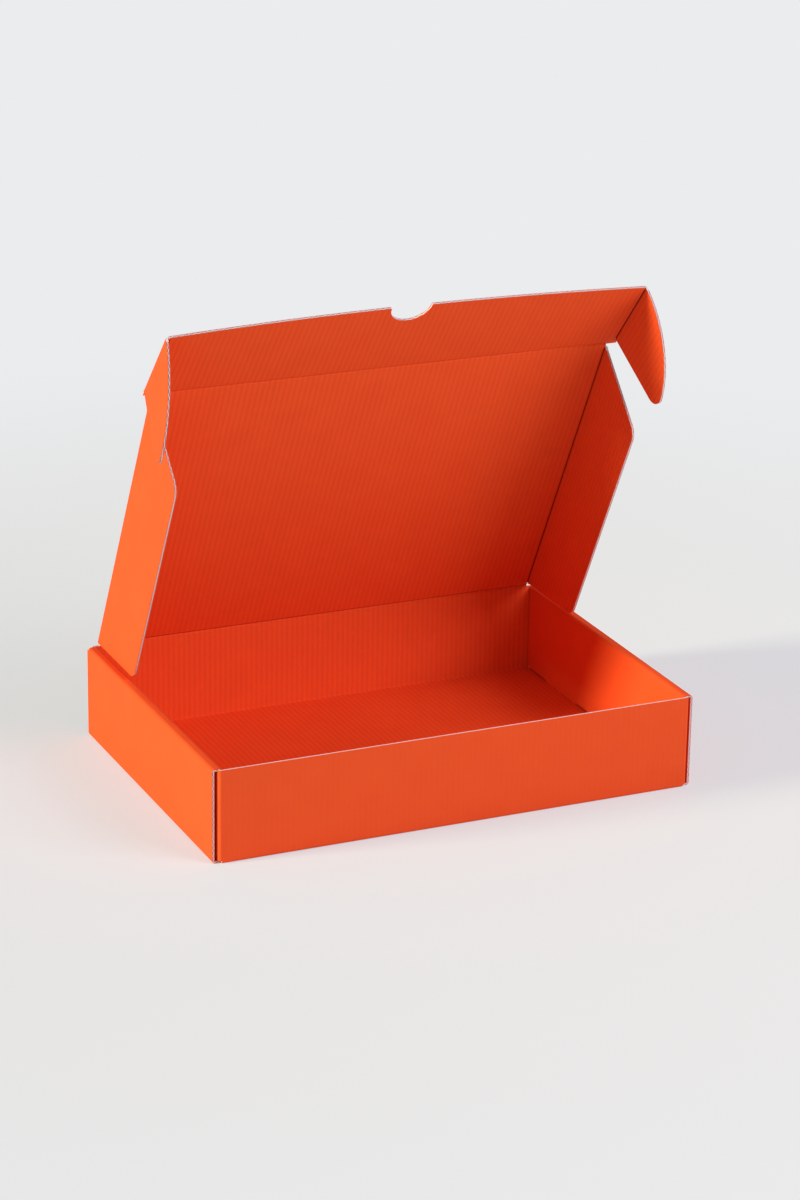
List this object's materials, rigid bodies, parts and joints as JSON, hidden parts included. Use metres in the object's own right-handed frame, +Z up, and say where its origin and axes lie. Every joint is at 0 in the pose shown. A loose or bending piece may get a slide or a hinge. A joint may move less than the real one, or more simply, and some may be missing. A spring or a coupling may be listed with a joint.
{
  "type": "corrugated mailer box",
  "caption": "Shallow fold-up mailer box of thin fluted cardboard, with a hinged tuck lid, folding side wings, a front panel with rounded lock ears and a thumb notch.",
  "frame": {"origin": "middle of the tray's flat underside, on the surface that the box stands on", "axes": "+Z up; -Y is the front, where the lid's front panel tucks in; +Y is the hinge side; +X runs along the length, to the right seen from the front"},
  "size_m": [0.322, 0.214, 0.2966],
  "materials": {
    "board": "matte print on both faces, white at the cut edges"
  },
  "bodies": {
    "tray": {"tray": "board"},
    "lid": {"lid_panel": "board"},
    "front": {"front_panel": "board"},
    "left_wing": {"left_wing": "board"},
    "right_wing": {"right_wing": "board"},
    "left_ear": {"left_ear": "board"},
    "right_ear": {"right_ear": "board"}
  },
  "joints": [
    {"name": "lid_hinge", "type": "hinge", "parent": "tray", "child": "lid", "pos_m": [0, 0.10625, 0.05935], "axis": [-1, 0, 0], "range_deg": [-62.6, 117.4]},
    {"name": "front_hinge", "type": "hinge", "parent": "lid", "child": "front", "pos_m": [0, 0.0077, 0.24948], "axis": [1, 0, 0], "range_deg": [-14, 76]},
    {"name": "left_wing_hinge", "type": "hinge", "parent": "lid", "child": "left_wing", "pos_m": [-0.1477, 0.10625, 0.05935], "axis": [0, 0.4602, -0.8878], "range_deg": [-8, 90]},
    {"name": "right_wing_hinge", "type": "hinge", "parent": "lid", "child": "right_wing", "pos_m": [0.1477, 0.10625, 0.05935], "axis": [0, -0.4602, 0.8878], "range_deg": [-8, 90]},
    {"name": "left_ear_hinge", "type": "hinge", "parent": "front", "child": "left_ear", "pos_m": [-0.15265, 0.0077, 0.24948], "axis": [0, 0.6613, -0.7501], "range_deg": [-8.3, 81.7]},
    {"name": "right_ear_hinge", "type": "hinge", "parent": "front", "child": "right_ear", "pos_m": [0.15265, 0.0077, 0.24948], "axis": [0, -0.6613, 0.7501], "range_deg": [-8.3, 81.7]}
  ]
}
